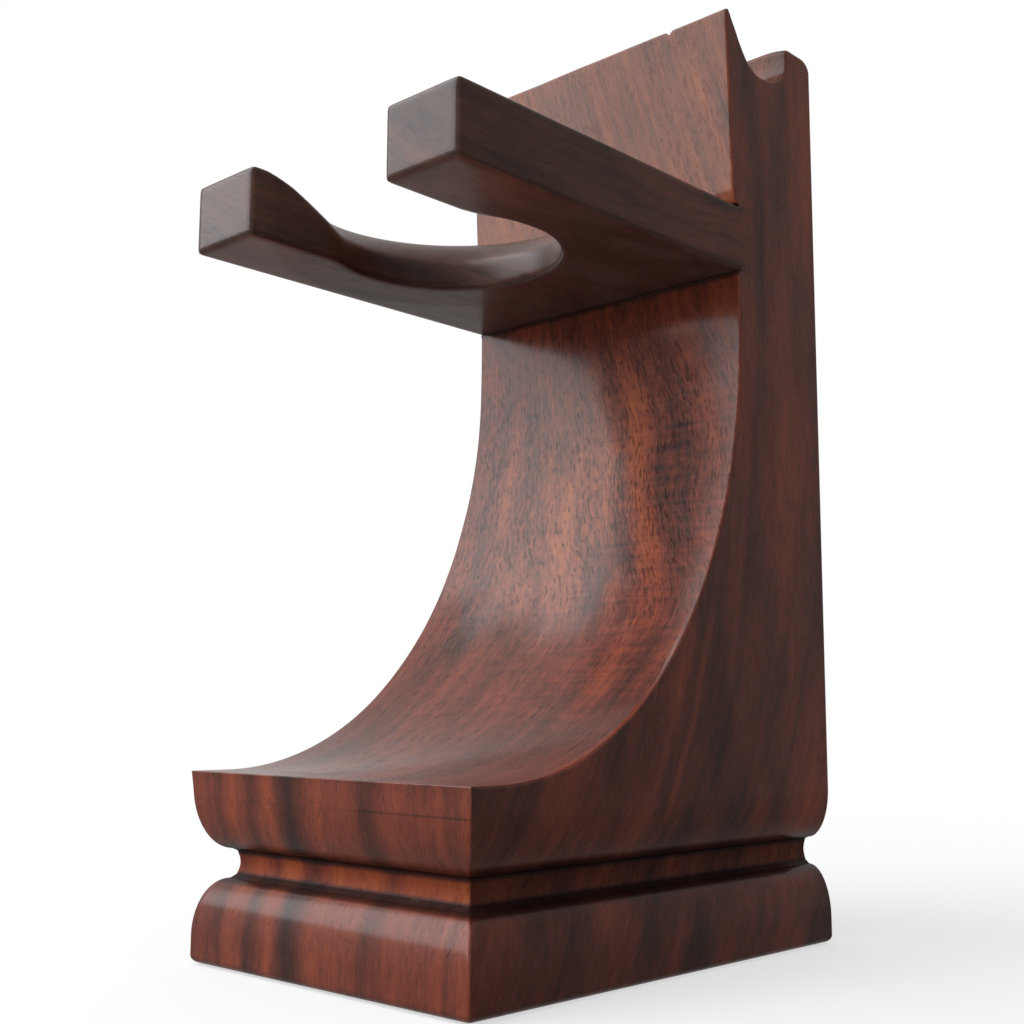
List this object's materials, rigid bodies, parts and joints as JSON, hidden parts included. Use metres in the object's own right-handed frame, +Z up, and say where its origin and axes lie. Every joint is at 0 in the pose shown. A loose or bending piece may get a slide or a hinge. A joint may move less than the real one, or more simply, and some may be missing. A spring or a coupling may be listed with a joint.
{
  "type": "pen and brush stand",
  "caption": "Wooden desk stand with a moulded base, a swept column, a forked bracket that a pen or brush hangs in, and a rest groove across the top.",
  "frame": {"origin": "centre of the overall footprint (fork tips to back face), on the ground under the base", "axes": "+X along the width, -Y towards the front where the fork points, +Z up"},
  "size_m": [0.05, 0.0744, 0.13],
  "materials": {
    "rosewood_block": "dark reddish brown rosewood, satin oil and wax",
    "rosewood_fork": "dark brown rosewood board, satin oil and wax",
    "beech_dowel": "plain dry beech, unfinished"
  },
  "bodies": {
    "root": {"base_column_block": "rosewood_block", "fork_bracket": "rosewood_fork", "dowel_left": "beech_dowel", "dowel_right": "beech_dowel"}
  },
  "joints": []
}
